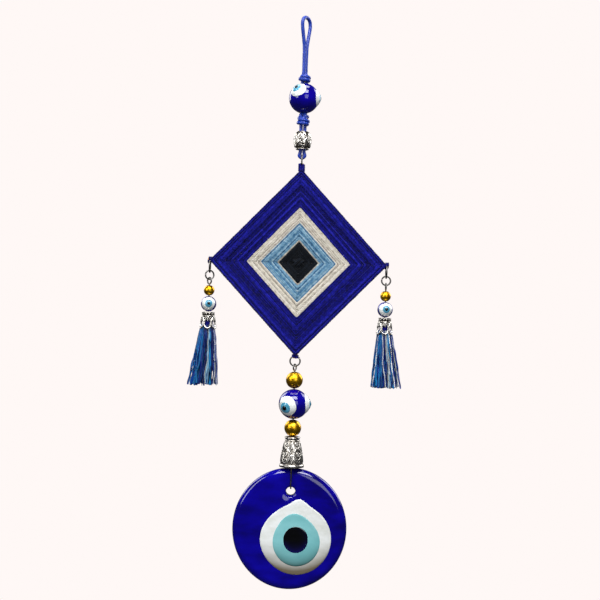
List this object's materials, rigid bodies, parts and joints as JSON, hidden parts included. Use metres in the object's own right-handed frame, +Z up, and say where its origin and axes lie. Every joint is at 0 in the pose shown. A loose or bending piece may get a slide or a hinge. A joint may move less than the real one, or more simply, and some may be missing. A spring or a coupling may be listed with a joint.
{
  "type": "evil eye wall hanging",
  "caption": "Hanging ornament: a cord with beads, a yarn-woven diamond on crossed sticks, side tassel drops, and a glass eye disc below.",
  "frame": {"origin": "inner top of the hanging loop, where the nail or hook bears", "axes": "+Z up along the cord, front of the ornament faces -Y, +X to the right seen from the front"},
  "size_m": [0.1128, 0.0181, 0.2982],
  "materials": {
    "satin_cord": "satin cord",
    "cobalt_glass": "polished opaque glass",
    "white_glass": "polished opaque glass",
    "light_blue_glass": "polished opaque glass",
    "turquoise_glass": "polished opaque glass",
    "black_glass": "polished opaque glass",
    "antique_silver": "cast, dark in the hollows",
    "wire": "gunmetal plated",
    "gold_plate": "bright gold plated",
    "stick_wood": "plain dowel",
    "black_yarn": "wound acrylic yarn",
    "light_blue_yarn": "wound acrylic yarn",
    "cream_yarn": "wound acrylic yarn",
    "royal_blue_yarn": "wound acrylic yarn",
    "tassel_strips": "shiny flat strips and silver strands",
    "tassel_thread": "thread"
  },
  "bodies": {
    "hanging_cord": {"hanging_loop_cord": "satin_cord", "upper_knot": "satin_cord", "bead_cord": "satin_cord", "lower_knot": "satin_cord", "lower_cord": "satin_cord"},
    "top_bead": {"top_bead_glass": "cobalt_glass", "top_bead_whites": "white_glass", "top_bead_irises": "light_blue_glass", "top_bead_pupils": "black_glass"},
    "charm": {"charm_bead": "antique_silver"},
    "top_ring": {"top_jump_ring": "wire"},
    "diamond": {"vertical_stick": "stick_wood", "horizontal_stick": "stick_wood", "top_stub_wrap": "royal_blue_yarn", "black_yarn": "black_yarn", "light_blue_yarn": "light_blue_yarn", "cream_yarn": "cream_yarn", "royal_blue_yarn": "royal_blue_yarn"},
    "bottom_ring": {"bottom_jump_ring": "wire"},
    "lower_drop": {"bottom_eye_pin": "wire"},
    "upper_gold": {"upper_gold_bead": "gold_plate"},
    "middle_bead": {"middle_bead_glass": "cobalt_glass", "middle_bead_whites": "white_glass", "middle_bead_irises": "light_blue_glass", "middle_bead_pupils": "black_glass"},
    "lower_gold": {"lower_gold_bead": "gold_plate"},
    "cone": {"bead_cone": "antique_silver"},
    "disc": {"disc_glass": "cobalt_glass", "disc_white": "white_glass", "disc_turquoise": "turquoise_glass", "disc_pupil": "black_glass"},
    "left_link": {"left_corner_link": "wire"},
    "left_ring": {"left_jump_ring": "wire"},
    "left_drop": {"left_eye_pin": "wire", "left_tassel_cap": "antique_silver", "left_tassel_tie": "tassel_thread", "left_tassel_skirt": "tassel_strips"},
    "left_gold": {"left_gold_bead": "gold_plate"},
    "left_eye_bead": {"left_bead_glass": "cobalt_glass", "left_bead_whites": "white_glass", "left_bead_irises": "light_blue_glass", "left_bead_pupils": "black_glass"},
    "right_link": {"right_corner_link": "wire"},
    "right_ring": {"right_jump_ring": "wire"},
    "right_drop": {"right_eye_pin": "wire", "right_tassel_cap": "antique_silver", "right_tassel_tie": "tassel_thread", "right_tassel_skirt": "tassel_strips"},
    "right_gold": {"right_gold_bead": "gold_plate"},
    "right_eye_bead": {"right_bead_glass": "cobalt_glass", "right_bead_whites": "white_glass", "right_bead_irises": "light_blue_glass", "right_bead_pupils": "black_glass"}
  },
  "joints": [
    {"name": "top_bead_spin", "type": "hinge", "parent": "hanging_cord", "child": "top_bead", "pos_m": [0, 0, -0.04105], "axis": [0, 0, 1], "continuous": true},
    {"name": "charm_spin", "type": "hinge", "parent": "hanging_cord", "child": "charm", "pos_m": [0, 0, -0.0679], "axis": [0, 0, 1], "continuous": true},
    {"name": "top_ring_swing", "type": "hinge", "parent": "hanging_cord", "child": "top_ring", "pos_m": [0, 0, -0.07195], "axis": [1, 0, 0], "range_deg": [-25, 25]},
    {"name": "diamond_swing", "type": "hinge", "parent": "top_ring", "child": "diamond", "pos_m": [0, 0, -0.0763], "axis": [0, 1, 0], "range_deg": [-25, 25]},
    {"name": "left_link_swing", "type": "hinge", "parent": "diamond", "child": "left_link", "pos_m": [-0.0461, 0.0024, -0.12659], "axis": [0, 1, 0], "range_deg": [-12, 50]},
    {"name": "left_ring_swing", "type": "hinge", "parent": "left_link", "child": "left_ring", "pos_m": [-0.0461, 0.0024, -0.13209], "axis": [0.9063, 0.4226, 0], "range_deg": [-35, 35]},
    {"name": "left_drop_swing", "type": "hinge", "parent": "left_ring", "child": "left_drop", "pos_m": [-0.0461, 0.0024, -0.13579], "axis": [0.6428, -0.766, 0], "range_deg": [-25, 14]},
    {"name": "left_gold_spin", "type": "hinge", "parent": "left_drop", "child": "left_gold", "pos_m": [-0.0461, 0.0024, -0.14244], "axis": [0, 0, 1], "continuous": true},
    {"name": "left_eye_bead_spin", "type": "hinge", "parent": "left_drop", "child": "left_eye_bead", "pos_m": [-0.0461, 0.0024, -0.14949], "axis": [0, 0, 1], "continuous": true},
    {"name": "right_link_swing", "type": "hinge", "parent": "diamond", "child": "right_link", "pos_m": [0.0461, 0.0024, -0.12659], "axis": [0, 1, 0], "range_deg": [-50, 12]},
    {"name": "right_ring_swing", "type": "hinge", "parent": "right_link", "child": "right_ring", "pos_m": [0.0461, 0.0024, -0.13209], "axis": [1, 0, 0], "range_deg": [-35, 35]},
    {"name": "right_drop_swing", "type": "hinge", "parent": "right_ring", "child": "right_drop", "pos_m": [0.0461, 0.0024, -0.13579], "axis": [0, 1, 0], "range_deg": [-25, 14]},
    {"name": "right_gold_spin", "type": "hinge", "parent": "right_drop", "child": "right_gold", "pos_m": [0.0461, 0.0024, -0.14244], "axis": [0, 0, 1], "continuous": true},
    {"name": "right_eye_bead_spin", "type": "hinge", "parent": "right_drop", "child": "right_eye_bead", "pos_m": [0.0461, 0.0024, -0.14949], "axis": [0, 0, 1], "continuous": true},
    {"name": "bottom_ring_swing", "type": "hinge", "parent": "diamond", "child": "bottom_ring", "pos_m": [0, 0, -0.17509], "axis": [1, 0, 0], "range_deg": [-40, 40]},
    {"name": "lower_drop_swing", "type": "hinge", "parent": "bottom_ring", "child": "lower_drop", "pos_m": [0, 0, -0.17939], "axis": [0.4226, 0.9063, 0], "range_deg": [-25, 25]},
    {"name": "upper_gold_spin", "type": "hinge", "parent": "lower_drop", "child": "upper_gold", "pos_m": [0, 0, -0.18764], "axis": [0, 0, 1], "continuous": true},
    {"name": "middle_bead_spin", "type": "hinge", "parent": "lower_drop", "child": "middle_bead", "pos_m": [0, 0, -0.20009], "axis": [0, 0, 1], "continuous": true},
    {"name": "lower_gold_spin", "type": "hinge", "parent": "lower_drop", "child": "lower_gold", "pos_m": [0, 0, -0.21254], "axis": [0, 0, 1], "continuous": true},
    {"name": "cone_spin", "type": "hinge", "parent": "lower_drop", "child": "cone", "pos_m": [0, 0, -0.21709], "axis": [0, 0, 1], "continuous": true},
    {"name": "disc_swing", "type": "hinge", "parent": "lower_drop", "child": "disc", "pos_m": [0, 0, -0.24334], "axis": [0, 1, 0], "range_deg": [-10, 10]}
  ]
}
